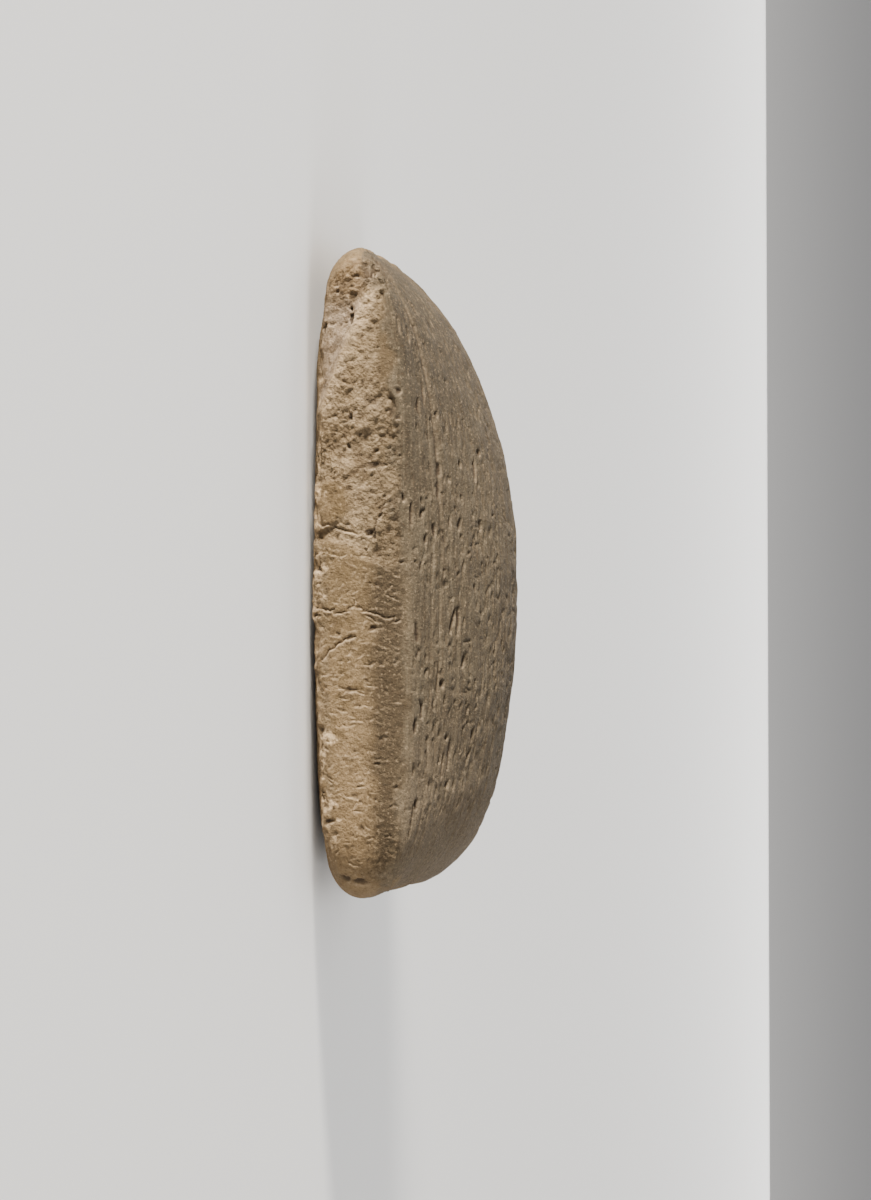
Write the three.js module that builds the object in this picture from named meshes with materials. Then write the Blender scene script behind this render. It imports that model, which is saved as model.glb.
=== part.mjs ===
// Clay writing tablet: one solid, hand-shaped slab, lying on its flatter face.
// The frame is in millimetres. +Z is up and points out of the domed reverse, +Y points to the
// tablet's top edge, and -X to its right-hand edge. The origin is the middle of the flat that
// the tablet rests on, under the middle of its outline.
import * as THREE from "three";

// Body
const LENGTH = 106; // bottom edge to top edge, along Y
const WIDTH = 76; // left edge to right edge, along X
const THICKNESS = 30.4; // resting flat to the highest point of the reverse
const SQUARENESS = 7.6; // exponent of the outline: 2 is an ellipse, more is squarer

// Obverse, the flatter face, which is down
const FLAT_SHARE = 0.5; // share of the outline that lies in the resting flat
const OBVERSE_RISE_SIDE = 1.1; // how far the face has lifted at the middle of the long edges
const OBVERSE_RISE_END = 4.6; // the same at the short edges
const OBVERSE_RISE_POWER = 1.2; // how late it lifts towards them
const ROLL_SIDE = 4.5; // width of the rounded arris along the long edges
const ROLL_END = 8.2; // the same along the short edges

// Edge band, the face of the rim
const EQUATOR_SIDE = 8.4; // height of the widest line on the long edges
const EQUATOR_END = 7.6; // the same on the short edges
const BAND_LEAN = 1; // how far the band leans in between that line and the reverse
const BAND_BOW = 1.6; // exponent of the lean: 1 is straight, more is rounder
const CREASE_SIDE = 16.1; // height where the band meets the reverse, on the long edges
const CREASE_TOP = 9; // the same at the top edge, which is the thin one
const CREASE_BOTTOM = 11; // the same at the bottom edge
const CREASE_DROP_POWER = 5.8; // how late the crease drops towards the corners
const END_POWER = 3.7; // how late the edge's form turns into that of the short edges

// Reverse, the domed face, which is up
const DOME_SIDE = { power: 1.8, ease: 1 }; // section from edge to edge
const DOME_TOP = { power: 2.2, ease: 1.28 }; // slope down to the top edge
const DOME_BOTTOM = { power: 2.25, ease: 0.51 }; // fuller shoulder at the bottom edge

// Broken place on the upper half of the right-hand edge
const SCAR_TOP = 4.5; // top of the flake scar, down from the top edge
const SCAR_BOTTOM = 30; // its lower end
const SCAR_RIDGE_TOP = 11.5; // height of the slanting ridge at the scar's top
const SCAR_RIDGE_BOTTOM = 2.5; // height of the ridge at its lower end
const SCAR_DEPTH = 1.7;
const SPALL_TOP = 7; // spalled clay beside and below the scar, down from the top edge
const SPALL_BOTTOM = 49;
const SPALL_DEPTH = 0.8;
const SPALL_LUMP = 0.45; // how rough the spalled clay is
const SPALL_LUMP_SIZE = 4;
const BREAK_SLOPE = 2.2; // width of the slope around each broken place
const BREAK_REACH = 11; // how far in from the edge the faces follow the break

// Writing: rows of short strokes that are broad at one end
const ROW_PITCH_REVERSE = 4.5;
const ROW_PITCH_OBVERSE = 4.1;
const REVERSE_MARGIN_TOP = 6; // unwritten clay above the first row
const REVERSE_MARGIN_BOTTOM = 9; // unwritten clay below the last row
const OBVERSE_MARGIN = 7.5; // the same above and below the obverse's rows
const ROW_MARGIN_SIDE = 4.5; // where the rows stop, in from the long edges
const STROKE_GAP = 5.4; // from one stroke to the next along a row
const STROKE_LENGTH = 2.7;
const STROKE_WIDTH = 1.4;
const STROKE_DEPTH = 0.5;
const STROKE_WANDER = 2.2; // how unevenly the strokes are spaced along a row
const STROKE_LIFT = 0.9; // how far they stray from its line
const STROKE_LEAN = 0.5; // how far they turn from upright, in radians
const LYING_SHARE = 0.2; // share of the strokes that lie along the row
const RULING_INSET = 6.6; // first ruling of the pair, in from the right-hand edge
const RULING_SPACING = 2;
const RULING_WIDTH = 0.7;
const RULING_DEPTH = 0.35;
const RULING_MARGIN = 8; // how far the rulings stop from the short edges

// Facets
const FACET_FINE = 1.9; // step along the broken edge
const FACET_COARSE = 7; // step along the straighter parts of the outline
const FACET_TURN = 0.14; // turn of the outline in one step round the corners, in radians
const RULING_STEP = 3;
const ROLL_STEPS = 4;
const BAND_STEPS = 6;
const FACE_RINGS = [0.96, 0.91, 0.85, 0.78, 0.7]; // filled in where no stroke is near
const OUTLINE_SAMPLES = 400; // a quarter of the outline, as measured for its steps
const LEAST_AREA = 1e-7; // a triangle with less is taken as flat

const CLAY = { color: 0x9c856a, roughness: 0.95, metalness: 0 };

const HALF_LENGTH = LENGTH / 2;
const HALF_WIDTH = WIDTH / 2;

const mix = (a, b, share) => a + (b - a) * share;
const clamp = (value, low, high) => Math.min(high, Math.max(low, value));
const smooth = (value) => {
  const t = clamp(value, 0, 1);
  return t * t * (3 - 2 * t);
};

// A repeatable number from 0 to 1 for each pair of whole numbers.
function scatter(i, j) {
  const wave = Math.sin(i * 12.9898 + j * 78.233) * 43758.5453;
  return wave - Math.floor(wave);
}

// Smooth lumps about one unit across, from -1 to 1.
function lumps(u, v) {
  const [i, j] = [Math.floor(u), Math.floor(v)];
  const [s, t] = [smooth(u - i), smooth(v - j)];
  const near = mix(scatter(i, j), scatter(i + 1, j), s);
  const far = mix(scatter(i, j + 1), scatter(i + 1, j + 1), s);
  return 2 * mix(near, far, t) - 1;
}

// 0 in the middle of the outline and 1 on it.
function outlineShare(x, y) {
  const across = Math.abs(x / HALF_WIDTH) ** SQUARENESS;
  const along = Math.abs(y / HALF_LENGTH) ** SQUARENESS;
  return (across + along) ** (1 / SQUARENESS);
}

function outlinePoint(angle) {
  const [c, s] = [Math.cos(angle), Math.sin(angle)];
  const reach = 1 / outlineShare(c, s);
  return [c * reach, s * reach];
}

// Which way the outline faces at one of its points, from 0 to a quarter turn.
function outlineFacing([x, y]) {
  const across = Math.abs(x / HALF_WIDTH) ** (SQUARENESS - 1) / HALF_WIDTH;
  const along = Math.abs(y / HALF_LENGTH) ** (SQUARENESS - 1) / HALF_LENGTH;
  return Math.atan2(along, across);
}

// How much a place on the outline belongs to a short edge rather than to a long one.
const endShare = (y) => Math.abs(y / HALF_LENGTH) ** END_POWER;

function obverseHeight(x, y) {
  const along = Math.abs(y / HALF_LENGTH) ** OBVERSE_RISE_POWER;
  const rise = mix(OBVERSE_RISE_SIDE, OBVERSE_RISE_END, along);
  const beyond = (outlineShare(x, y) - FLAT_SHARE) / (1 - FLAT_SHARE);
  return rise * Math.max(0, beyond) ** 2;
}

function reverseHeight(x, y) {
  const across = clamp(Math.abs(x) / (HALF_WIDTH - BAND_LEAN), 0, 1);
  const along = clamp(Math.abs(y) / (HALF_LENGTH - BAND_LEAN), 0, 1);
  const end = y > 0 ? DOME_TOP : DOME_BOTTOM;
  const creaseEnd = y > 0 ? CREASE_TOP : CREASE_BOTTOM;
  const crease = mix(CREASE_SIDE, creaseEnd, along ** CREASE_DROP_POWER);
  const domeAcross = (1 - across ** DOME_SIDE.power) ** DOME_SIDE.ease;
  const domeAlong = (1 - along ** end.power) ** end.ease;
  return mix(crease, THICKNESS, domeAcross * domeAlong);
}

// How much clay is lost from the right-hand edge, for a place on it or near it.
function breakDepth(x, y, z) {
  const nearEdge = smooth((-HALF_WIDTH + BREAK_REACH - x) / BREAK_REACH);
  const down = HALF_LENGTH - y;
  const within = (distance) => smooth(0.5 + distance / BREAK_SLOPE);
  const ridgeShare = (down - SCAR_TOP) / (SCAR_BOTTOM - SCAR_TOP);
  const ridge = mix(SCAR_RIDGE_TOP, SCAR_RIDGE_BOTTOM, ridgeShare);
  const inScar =
    within(down - SCAR_TOP) * within(SCAR_BOTTOM - down) * within(ridge - z);
  const inSpall =
    within(down - SPALL_TOP) *
    within(SPALL_BOTTOM - down) *
    within(CREASE_SIDE - z);
  const lump = SPALL_LUMP * lumps(y / SPALL_LUMP_SIZE, z / SPALL_LUMP_SIZE);
  const depth = Math.max(inScar * SCAR_DEPTH, inSpall * (SPALL_DEPTH + lump));
  return nearEdge * depth;
}

// Moves a point of the whole tablet to where the break has left it.
const weathered = ([x, y, z]) => [x + breakDepth(x, y, z), y, z];

// Directions from the middle to the points of each ring, closer together on the broken edge
// and round the corners.
function ringAngles() {
  const angles = [];
  for (let quarter = 0; quarter < 4; quarter++) {
    const angleAt = (k) => ((quarter + k / OUTLINE_SAMPLES) * Math.PI) / 2;
    const steps = [0];
    for (let k = 1; k <= OUTLINE_SAMPLES; k++) {
      const [from, to] = [k - 1, k].map((n) => outlinePoint(angleAt(n)));
      const travel = Math.hypot(to[0] - from[0], to[1] - from[1]);
      const turn = Math.abs(outlineFacing(to) - outlineFacing(from));
      const broken = to[0] < BREAK_REACH - HALF_WIDTH && to[1] > 0;
      const facet = broken ? FACET_FINE : FACET_COARSE;
      steps.push(steps[k - 1] + travel / facet + turn / FACET_TURN);
    }
    const count = Math.max(3, Math.round(steps[OUTLINE_SAMPLES]));
    for (let n = 0; n < count; n++) {
      const wanted = (n / count) * steps[OUTLINE_SAMPLES];
      angles.push(angleAt(steps.findIndex((step) => step >= wanted)));
    }
  }
  return angles;
}

// One section of the rim, from the obverse over the edge to the reverse.
function rimSection(angle) {
  const [px, py] = outlinePoint(angle);
  const reach = Math.hypot(px, py);
  const at = (inset) => [px * (1 - inset / reach), py * (1 - inset / reach)];
  const roll = mix(ROLL_SIDE, ROLL_END, endShare(py));
  const equator = mix(EQUATOR_SIDE, EQUATOR_END, endShare(py));
  const rollHeight = obverseHeight(...at(roll));
  const creaseHeight = reverseHeight(...at(BAND_LEAN));
  const section = [];
  for (let k = 0; k < ROLL_STEPS; k++) {
    const turn = ((k / ROLL_STEPS) * Math.PI) / 2;
    const z = mix(rollHeight, equator, 1 - Math.cos(turn));
    section.push([...at(roll * (1 - Math.sin(turn))), z]);
  }
  for (let k = 0; k <= BAND_STEPS; k++) {
    const rise = k / BAND_STEPS;
    const z = mix(equator, creaseHeight, rise);
    section.push([...at(BAND_LEAN * rise ** BAND_BOW), z]);
  }
  return section;
}

// Triangles over the points of a face, seen from +Z. The first points are the face's rim.
class Sheet {
  constructor(rim, middle) {
    this.points = [...rim, middle];
    this.facing = new Map(); // for each directed edge, the corner that faces it
    this.kept = new Set(); // edges that stay, such as the lips of a stroke
    const hub = rim.length;
    rim.forEach((_, n) => this.add(n, (n + 1) % hub, hub));
  }

  edge(a, b) {
    return `${a} ${b}`;
  }

  add(a, b, c) {
    this.facing.set(this.edge(a, b), [a, b, c]);
    this.facing.set(this.edge(b, c), [b, c, a]);
    this.facing.set(this.edge(c, a), [c, a, b]);
  }

  remove(a, b, c) {
    this.facing.delete(this.edge(a, b));
    this.facing.delete(this.edge(b, c));
    this.facing.delete(this.edge(c, a));
  }

  // Twice the triangle's area, above 0 where it turns to the left.
  area(a, b, c) {
    const [p, q, r] = [a, b, c].map((n) => this.points[n]);
    return (q[0] - p[0]) * (r[1] - p[1]) - (q[1] - p[1]) * (r[0] - p[0]);
  }

  // Whether d lies in the circle through a, b and c.
  circled(a, b, c, d) {
    const [dx, dy] = this.points[d];
    const [[ax, ay, aq], [bx, by, bq], [cx, cy, cq]] = [a, b, c].map((n) => {
      const [x, y] = [this.points[n][0] - dx, this.points[n][1] - dy];
      return [x, y, x * x + y * y];
    });
    const first = ax * (by * cq - cy * bq) - ay * (bx * cq - cx * bq);
    return first + aq * (bx * cy - cx * by) > LEAST_AREA;
  }

  // Swaps the edge a b for the one across it, where that is better and the edge is free.
  relax(a, b, tip) {
    const beyond = this.facing.get(this.edge(b, a));
    if (beyond === undefined || this.kept.has(this.edge(a, b))) return;
    const far = beyond[2];
    if (!this.circled(a, b, tip, far)) return;
    this.remove(a, b, tip);
    this.remove(b, a, far);
    this.add(a, far, tip);
    this.add(far, b, tip);
    this.relax(a, far, tip);
    this.relax(far, b, tip);
  }

  // The new point's number, or nothing if it lies outside the rim or on an edge.
  insert(point) {
    const n = this.points.push(point) - 1;
    for (const [a, b, c] of this.facing.values()) {
      const parts = [this.area(a, b, n), this.area(b, c, n), this.area(c, a, n)];
      if (Math.min(...parts) <= LEAST_AREA) continue;
      this.remove(a, b, c);
      this.add(a, b, n);
      this.add(b, c, n);
      this.add(c, a, n);
      this.relax(a, b, n);
      this.relax(b, c, n);
      this.relax(c, a, n);
      return n;
    }
    this.points.pop();
    return undefined;
  }

  // Keeps the edge a b from now on, and says whether it is there to keep.
  keep(a, b) {
    const there = this.facing.has(this.edge(a, b)) || this.facing.has(this.edge(b, a));
    if (there) this.kept.add(this.edge(a, b)).add(this.edge(b, a));
    return there;
  }

  triangles() {
    return [...this.facing.values()].filter(([a, b, c]) => a < b && a < c);
  }
}

// The two faces that are written on. Upright strokes have their broad end at the head of the
// writing, which is the top edge on the obverse and the bottom edge on the reverse.
const OBVERSE = {
  height: obverseHeight,
  outward: -1,
  pitch: ROW_PITCH_OBVERSE,
  top: HALF_LENGTH - OBVERSE_MARGIN,
  bottom: -HALF_LENGTH + OBVERSE_MARGIN,
};
const REVERSE = {
  height: reverseHeight,
  outward: 1,
  pitch: ROW_PITCH_REVERSE,
  top: HALF_LENGTH - REVERSE_MARGIN_TOP,
  bottom: -HALF_LENGTH + REVERSE_MARGIN_BOTTOM,
};

const rulingPlaces = [0, 1].map(
  (n) => -HALF_WIDTH + RULING_INSET + n * RULING_SPACING,
);

// Where the strokes of one face stand and which way each one points, clear of the rulings.
function strokePlaces({ top, bottom, pitch, outward }) {
  const places = [];
  const uneven = (row, column, range) => (scatter(row, column) - 0.5) * range;
  const rows = Math.max(1, Math.floor((top - bottom) / pitch));
  const reach = HALF_WIDTH - ROW_MARGIN_SIDE;
  const columns = Math.floor((2 * reach) / STROKE_GAP);
  const clearance = STROKE_WIDTH / 2 + RULING_WIDTH;
  for (let row = 0; row < rows; row++) {
    const line = top - (row + 0.5) * ((top - bottom) / rows);
    const start = -reach + uneven(row, 99, STROKE_GAP);
    for (let column = 0; column <= columns; column++) {
      const x = start + column * STROKE_GAP + uneven(row + 7, column, STROKE_WANDER);
      const y = line + uneven(row + 31, column, STROKE_LIFT);
      const onRuling = rulingPlaces.some((place) => Math.abs(place - x) < clearance);
      if (onRuling || Math.abs(x) > reach) continue;
      const lying = scatter(row, column + 17) < LYING_SHARE;
      const heading = lying ? Math.PI : (outward * Math.PI) / 2;
      places.push({ x, y, heading: heading + uneven(row + 5, column, STROKE_LEAN) });
    }
  }
  return places;
}

// A stroke's two broad corners, its far tip and its deepest place.
function cutStroke(sheet, face, { x, y, heading }) {
  const [c, s] = [Math.cos(heading), Math.sin(heading)];
  const place = (ahead, aside, depth = 0) => {
    const [px, py] = [x + ahead * c - aside * s, y + ahead * s + aside * c];
    return [px, py, face.height(px, py) - face.outward * depth];
  };
  const back = -STROKE_LENGTH / 2;
  const corners = [
    place(back, STROKE_WIDTH / 2),
    place(back, -STROKE_WIDTH / 2),
    place(-back, 0),
  ].map((point) => sheet.insert(point));
  if (corners.includes(undefined)) return;
  const lips = corners.map((corner, n) => sheet.keep(corner, corners[(n + 1) % 3]));
  if (lips.includes(false)) return;
  sheet.insert(place(back / 2, 0, STROKE_DEPTH));
}

// A ruling's two lips and its floor. An even number of places keeps it off the middle.
function cutRuling(sheet, face, x) {
  const reach = HALF_LENGTH - RULING_MARGIN;
  const count = 2 * Math.round(reach / RULING_STEP) + 1;
  let last;
  for (let k = 0; k <= count; k++) {
    const y = mix(-reach, reach, k / count);
    const closed = k === 0 || k === count;
    const corners = [-1, 0, 1].map((side) => {
      const lineX = x + (side * RULING_WIDTH) / 2;
      const depth = side || closed ? 0 : RULING_DEPTH;
      return sheet.insert([lineX, y, face.height(lineX, y) - face.outward * depth]);
    });
    if (last) corners.forEach((corner, n) => sheet.keep(corner, last[n]));
    last = corners;
  }
}

// A written face over its own rim.
function writtenFace(face, rim) {
  const sheet = new Sheet(rim, [0, 0, face.height(0, 0)]);
  const strokes = strokePlaces(face);
  rulingPlaces.forEach((x) => cutRuling(sheet, face, x));
  strokes.forEach((stroke) => cutStroke(sheet, face, stroke));
  for (const share of FACE_RINGS) {
    for (const [px, py] of rim) {
      const [x, y] = [px * share, py * share];
      const nearStroke = strokes.some(
        (stroke) => Math.hypot(stroke.x - x, stroke.y - y) < STROKE_LENGTH,
      );
      const nearRuling = rulingPlaces.some(
        (place) => Math.abs(place - x) < RULING_WIDTH,
      );
      if (!nearStroke && !nearRuling) sheet.insert([x, y, face.height(x, y)]);
    }
  }
  return sheet;
}

// The rim's rings and the two written faces, sewn together at the rim's first and last ring.
function tabletGeometry() {
  const sections = ringAngles().map(rimSection);
  const count = sections.length;
  const rings = sections[0].length;
  const positions = sections.flat();
  const triangles = [];
  const vertex = (n, ring) => (n % count) * rings + ring;
  for (let n = 0; n < count; n++) {
    for (let ring = 0; ring < rings - 1; ring++) {
      const [a, b] = [vertex(n, ring), vertex(n + 1, ring)];
      triangles.push([a, b, b + 1], [a, b + 1, a + 1]);
    }
  }
  const sew = (face, ring) => {
    const sheet = writtenFace(face, sections.map((section) => section[ring]));
    const first = positions.length - count;
    const numberOf = (n) => (n < count ? vertex(n, ring) : first + n);
    positions.push(...sheet.points.slice(count));
    for (const corners of sheet.triangles()) {
      const [a, b, c] = corners.map(numberOf);
      triangles.push(face.outward > 0 ? [a, b, c] : [a, c, b]);
    }
  };
  sew(OBVERSE, 0);
  sew(REVERSE, rings - 1);
  const geometry = new THREE.BufferGeometry();
  const worn = positions.flatMap(weathered);
  geometry.setAttribute("position", new THREE.Float32BufferAttribute(worn, 3));
  geometry.setIndex(triangles.flat());
  geometry.computeVertexNormals();
  return geometry;
}

const tablet = new THREE.Mesh(
  tabletGeometry(),
  new THREE.MeshStandardMaterial(CLAY),
);
tablet.name = "tablet";

const part = new THREE.Group();
part.add(tablet);

export default part;
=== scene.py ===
"""A clay writing tablet lying on its flatter face, seen from its chipped right-hand edge.

The form is worked out in millimetres in the frame of the solid it stands for: +Z out of the domed
reverse, +Y to the top edge, -X to the right-hand edge, which is the one near the camera. It goes
to Blender in metres.
"""

import bpy
import numpy as np
from mathutils import Matrix, Vector


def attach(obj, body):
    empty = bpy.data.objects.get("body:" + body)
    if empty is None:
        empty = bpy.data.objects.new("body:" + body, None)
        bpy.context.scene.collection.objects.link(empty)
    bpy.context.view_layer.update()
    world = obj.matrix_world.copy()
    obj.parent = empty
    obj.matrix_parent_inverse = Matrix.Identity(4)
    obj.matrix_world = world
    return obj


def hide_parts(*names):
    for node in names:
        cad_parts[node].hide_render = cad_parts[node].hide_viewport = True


# Form, as in the solid
LENGTH = 106.0
WIDTH = 76.0
THICKNESS = 30.4
SQUARENESS = 7.6
FLAT_SHARE = 0.5
OBVERSE_RISE_SIDE = 1.1
OBVERSE_RISE_END = 4.6
OBVERSE_RISE_POWER = 1.2
ROLL_SIDE = 4.5
ROLL_END = 8.2
EQUATOR_SIDE = 8.4
EQUATOR_END = 7.6
BAND_LEAN = 1.0
BAND_BOW = 1.6
CREASE_SIDE = 16.1
CREASE_TOP = 9.0
CREASE_BOTTOM = 11.0
CREASE_DROP_POWER = 5.8
END_POWER = 3.7
DOME_SIDE = (1.8, 1.0)
DOME_TOP = (2.2, 1.28)
DOME_BOTTOM = (2.25, 0.51)
HALF_LENGTH = LENGTH / 2
HALF_WIDTH = WIDTH / 2

# Broken place
BREAK_REACH = 11.0
SCAR_DEPTH = 2.2
SCAR_HACKLE = 0.34
SPALL_DEPTH = 0.7
SPALL_LUMP = 0.4
SPALL_CRUMB = 0.26
HIGH_START = 42.0
HIGH_FADE = 4.0

# Rounding of the crease
CREASE_SOFT = 0.75
CREASE_REACH = 3.2
CREASE_CRUMB = 0.1

# Wear: depths of unevenness, and how far up the lower arris reaches
STREAK_DEPTH = 0.085
STREAK_STRETCH = 14.0
REVERSE_RIPPLES = (0.05, 0.12)
SWELLS = (0.16, 0.1)
GRAIN_DEPTH = 0.025
EDGE_GRAIN_DEPTH = 0.05
FAR_PIT_DEPTH = 0.25
ARRIS_TOP = 4.2
ARRIS_FADE = 3.0
ARRIS_WAVE = 0.34
ARRIS_WAVE_HIGH = 0.5
ARRIS_CHIP = 0.3
ARRIS_CRUMB = 0.16
NOTCH_DEPTH = 0.55
RIM_WAVES = (0.24, 0.12)

# Near edge: its reach inwards, and the ends of its map as (y, z)
NEAR_REACH = 7.0
NEAR_FADE = 3.0
EDGE_LOW = (-HALF_LENGTH, -1.0)
EDGE_HIGH = (HALF_LENGTH, 20.0)

# Writing
ROW_PITCH_REVERSE = 4.5
ROW_PITCH_OBVERSE = 4.1
ROW_MARGIN_SIDE = 3.2
OBVERSE_MARGIN_END = 7.5
REVERSE_MARGIN_TOP = 6.0
REVERSE_MARGIN_BOTTOM = 9.0
OBVERSE_WEAR = 0.15
GAP_CHANCE = 0.14
LONE_CHANCE = 0.35
LYING_CHANCE = 0.16
HEADING_SPREAD = 0.16
STROKE_SIZE = (0.75, 1.15)
STROKE_PITCH = (0.75, 1.05)
STROKE_WIDTH = (0.6, 1.0)
STROKE_DEPTH = (0.4, 0.75)
STROKE_TAPER = 0.75
UPRIGHT_LENGTH = (2.1, 3.6)
LYING_LENGTH = (1.6, 2.6)
FAINTEST_STROKE = 0.06
SLOT_DEPTH = 0.6
SLOT_WIDEST = 1.15
SMALL_SLOTS = 760
RULING_INSET = 6.6
RULING_SPACING = 2.0
RULING_REACH = 45.0
RULING_STEPS = 60
RULING_KEPT = 0.82
RULING_WIDTH = 0.75
RULING_DEPTH = (0.16, 0.32)

# Cracks, pits and chips of the near edge
GROOVE_STEP = 0.45
LIP_REACH = 1.2
CRACK_LIP = 0.13
CHIP_DEPTH = 0.6
SMALL_PITS = 230
SMALL_CRACKS = 300
SMALL_CRACK_WIDTH = 0.28

# Mesh spacing
FINE = 0.25
COARSE = 0.7
ALONG = 0.17
FINE_REACH = 30.0
ROLL_RINGS = 56
BAND_RINGS = 44
TRIANGLES = 194000
MAP_STEP = 0.1

# Tones of the clay, in 0 to 255 display values
SKIN = (113, 94, 68)
SKIN_DRIFT = (99, 82, 58)
SKIN_MOTTLE = (87, 71, 48)
# Painted light for the band's bottom end
SKIN_LIT_BOTTOM = (134, 110, 79)
# Painted shade for the band's upper half
SKIN_SHADED = (55, 46, 33)
SKIN_TOP = (98, 75, 47)
# The reverse's tones: greyer clay, all kept darker than the clay is as painted shade
GREY_AND_SHADE = (78, 69, 54)
GREY_DRIFT = (70, 61, 47)
GREY_STREAK = (52, 43, 31)
GREY_STREAK_PALE = (100, 89, 72)
# Painted shade for the top of the reverse
GREY_TOP_SHADE = (48, 42, 33)
# Painted light for the reverse's bottom end
GREY_LIT_BOTTOM = (106, 92, 73)
CREASE_STRIP = (104, 91, 71)
RAW = (122, 104, 79)
RAW_MOTTLE = (103, 86, 63)
# Painted shade for the raw clay of the band's upper half
RAW_SHADED = (68, 57, 41)
RAW_TOP = (97, 77, 50)
BARE = (140, 123, 103)
BARE_MOTTLE = (98, 83, 66)
# Worn paler clay and painted highlight on the ridge's crest
CREST_HIGHLIGHT = (165, 142, 110)
GRAIN_DARK = (63, 49, 33)
GRAIN_PALE = (153, 131, 102)
SPECK = (49, 36, 24)
FLAKE = (171, 151, 123)
# Paler fresh clay, brightened as a painted highlight
FRESH_CLAY_HIGHLIGHT = (200, 172, 134)
# Dirt and painted shade in crevices
CREVICE_SHADE_AND_DIRT = (54, 42, 29)
# Painted highlight on the lit walls of cuts and cracks
LIP_HIGHLIGHT = (170, 148, 118)
# Dirt and painted shade in the hollows
DIRT_AND_HOLLOW_SHADE = (46, 36, 26)
FLOOR_TONE = (226, 224, 220)

# Surface of the clay and floor
CLAY_ROUGHNESS = 0.92
CLAY_SPECULAR = 0.15
BUMP_STRENGTH = 0.9
BUMP_DISTANCE = 0.0004
FLOOR_ROUGHNESS = 0.9
FLOOR_HALF = 14.0

# Light, in metres and watts
LIT_POINT = (-0.02, 0.0, 0.012)
SURROUND_TINT = (0.95, 0.96, 1.0, 1.0)
SURROUND_STRENGTH = 0.36

# Camera, in millimetres, with its two clip distances in metres
TILT = np.radians(6.0)
DISTANCE = 900.0
CAMERA_AIM = (-HALF_WIDTH, -4.4, 21.0)
FILM_HEIGHT = 36.0
LENS = 169.3
CLIP_NEAREST = 0.02
CLIP_FARTHEST = 60.0

# Metres to a millimetre, and the values that the noise is made from
MM = 0.001
NOISE_CELLS = 48
NOISE_SHIFT = 7.37
NOISE_START = 300
rng = np.random.default_rng(11)
LATTICE = rng.random((NOISE_CELLS, NOISE_CELLS, NOISE_CELLS))


def smooth(value):
    """0 below 0, 1 above 1, and an even curve between."""
    t = np.clip(value, 0, 1)
    return t * t * (3 - 2 * t)


def mix(a, b, share):
    return a + (b - a) * share


def noise(points, size, seed=0):
    """Smooth lumps about `size` across, from -1 to 1."""
    q = np.asarray(points) / size + NOISE_SHIFT * seed + NOISE_START
    cell = np.floor(q).astype(int)
    f = smooth(q - cell)
    low = cell % NOISE_CELLS
    high = (cell + 1) % NOISE_CELLS
    total = 0
    for corner in range(8):
        pick = [(corner >> axis) & 1 for axis in range(3)]
        i, j, k = (np.where(p, high[..., a], low[..., a]) for a, p in enumerate(pick))
        weight = 1.0
        for axis, p in enumerate(pick):
            weight = weight * (f[..., axis] if p else 1 - f[..., axis])
        total = total + weight * LATTICE[i, j, k]
    return 2 * total - 1


def fractal(points, size, octaves, seed=0, gain=0.55):
    """Noise with ever smaller lumps on it, each octave `gain` as strong as the one before."""
    total = 0
    weight = 1.0
    for octave in range(octaves):
        total = total + weight * noise(points, size / 2**octave, seed + octave)
        weight *= gain
    return total


# Base form


def rounded_span(u, v):
    return (np.abs(u) ** SQUARENESS + np.abs(v) ** SQUARENESS) ** (1 / SQUARENESS)


def outline_share(x, y):
    """0 at the middle of the tablet and 1 on its outline."""
    return rounded_span(x / HALF_WIDTH, y / HALF_LENGTH)


def end_share(y):
    return np.abs(y / HALF_LENGTH) ** END_POWER


def obverse_height(x, y):
    rise = mix(OBVERSE_RISE_SIDE, OBVERSE_RISE_END, np.abs(y / HALF_LENGTH) ** OBVERSE_RISE_POWER)
    beyond = (outline_share(x, y) - FLAT_SHARE) / (1 - FLAT_SHARE)
    return rise * np.maximum(0, beyond) ** 2


def crease_height(y):
    along = np.clip(np.abs(y) / (HALF_LENGTH - BAND_LEAN), 0, 1)
    return mix(CREASE_SIDE, np.where(y > 0, CREASE_TOP, CREASE_BOTTOM), along**CREASE_DROP_POWER)


def reverse_height(x, y):
    across = np.clip(np.abs(x) / (HALF_WIDTH - BAND_LEAN), 0, 1)
    along = np.clip(np.abs(y) / (HALF_LENGTH - BAND_LEAN), 0, 1)
    power = np.where(y > 0, DOME_TOP[0], DOME_BOTTOM[0])
    ease = np.where(y > 0, DOME_TOP[1], DOME_BOTTOM[1])
    dome = (1 - across ** DOME_SIDE[0]) ** DOME_SIDE[1] * (1 - along**power) ** ease
    return mix(crease_height(y), THICKNESS, dome)


def grid_lines():
    """Places of the grid's lines across and along, as shares of half the width and length."""
    spacing = 1.0
    near = np.arange(-HALF_WIDTH, -HALF_WIDTH + FINE_REACH, FINE * spacing)
    far = np.linspace(near[-1], HALF_WIDTH, int((HALF_WIDTH - near[-1]) / (COARSE * spacing)) + 1)
    along = np.linspace(-1, 1, int(LENGTH / (ALONG * spacing)) + 1)
    return np.concatenate([near, far[1:]]) / HALF_WIDTH, along, spacing


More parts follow.
